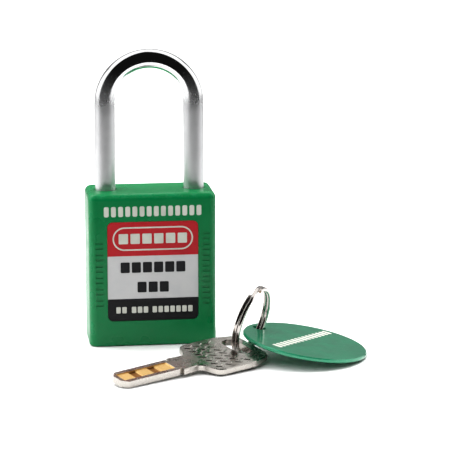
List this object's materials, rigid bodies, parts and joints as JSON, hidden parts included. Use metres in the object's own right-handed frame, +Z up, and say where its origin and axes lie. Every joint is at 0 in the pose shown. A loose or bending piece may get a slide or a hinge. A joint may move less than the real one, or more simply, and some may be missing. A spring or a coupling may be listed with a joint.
{
  "type": "safety padlock",
  "caption": "Lockout safety padlock: plastic body on a steel shackle held by locking balls, with cylinder, labels, key, split ring and tag.",
  "frame": {"origin": "centre of the padlock's bottom face, at the mouth of the keyway", "axes": "+Z up through the shackle, -Y out of the front label, +X to the right; the long leg of the shackle is at -X"},
  "size_m": [0.0836, 0.0671, 0.0915],
  "materials": {
    "green_body": "satin moulded",
    "cover_dark": "matt moulded",
    "shackle_chrome": "polished",
    "brass_cylinder": "machined",
    "hard_steel": "turned",
    "ball_steel": "polished",
    "zinc_cast": "cast",
    "spring_steel": "drawn",
    "bush_black": "matt",
    "label_silver": "printed film",
    "label_red": "printed ink",
    "label_black": "printed ink",
    "print_pale": "printed ink",
    "print_dark": "printed ink",
    "key_nickel": "nickel plated, milled cuts",
    "ring_steel": "bright wire",
    "tag_green": "anodised"
  },
  "bodies": {
    "case": {"body_shell": "green_body", "bottom_cover": "cover_dark", "cover_screw": "hard_steel", "heel_bush": "bush_black", "toe_bush": "bush_black", "cylinder_housing": "brass_cylinder", "pin_cover_strip": "brass_cylinder", "lock_carrier": "zinc_cast", "shackle_spring": "spring_steel", "label_front": "label_silver", "label_front_red": "label_red", "label_front_black": "label_black", "label_front_pale_marks": "print_pale", "label_front_dark_marks": "print_dark", "label_back": "label_silver", "label_back_lines": "print_dark", "top_print": "print_pale", "driver_pin_1": "hard_steel", "driver_pin_2": "hard_steel", "driver_pin_3": "hard_steel", "driver_pin_4": "hard_steel", "driver_pin_5": "hard_steel", "pin_spring_1": "spring_steel", "pin_spring_2": "spring_steel", "pin_spring_3": "spring_steel", "pin_spring_4": "spring_steel", "pin_spring_5": "spring_steel"},
    "plug_group": {"plug": "brass_cylinder", "plug_clip": "spring_steel", "locking_cam": "zinc_cast", "key_pin_1": "brass_cylinder", "key_pin_2": "brass_cylinder", "key_pin_3": "brass_cylinder", "key_pin_4": "brass_cylinder", "key_pin_5": "brass_cylinder"},
    "shackle_bar": {"shackle": "shackle_chrome"},
    "heel_ball": {"ball_heel": "ball_steel"},
    "toe_ball": {"ball_toe": "ball_steel"},
    "key_group": {"key": "key_nickel"},
    "ring_group": {"split_ring": "ring_steel"},
    "tag_group": {"key_tag": "tag_green", "key_tag_marks": "print_pale"}
  },
  "joints": [
    {"name": "shackle_lift", "type": "slide", "parent": "case", "child": "shackle_bar", "axis": [0, 0, 1], "range_m": [0, 0.014], "deforming": ["shackle_spring"]},
    {"name": "plug_turn", "type": "hinge", "parent": "case", "child": "plug_group", "pos_m": [0, 0, 0], "axis": [0, 0, 1], "range_deg": [0, 90.1]},
    {"name": "heel_ball_slide", "type": "slide", "parent": "case", "child": "heel_ball", "axis": [1, 0, 0], "range_m": [0, 0.00101]},
    {"name": "toe_ball_slide", "type": "slide", "parent": "case", "child": "toe_ball", "axis": [-1, 0, 0], "range_m": [0, 0.00101]},
    {"name": "key_lift", "type": "slide", "parent": "case", "child": "key_group", "axis": [0, 0, 1], "range_m": [0, 0.06]},
    {"name": "ring_turn", "type": "hinge", "parent": "key_group", "child": "ring_group", "pos_m": [0.0283, -0.0269, 0.0113], "axis": [0.8198, -0.5128, -0.2549], "continuous": true},
    {"name": "tag_swing", "type": "hinge", "parent": "key_group", "child": "tag_group", "pos_m": [0.03191, -0.01859, 0.00624], "axis": [-0.5412, -0.8409, 0], "range_deg": [0, 20]}
  ],
  "couplings": [
    {"joint": "plug_turn", "follows": "shackle_lift", "rad_per_m": 112.2},
    {"joint": "heel_ball_slide", "follows": "shackle_lift", "ratio": 0.071429},
    {"joint": "toe_ball_slide", "follows": "shackle_lift", "ratio": 0.071429}
  ]
}
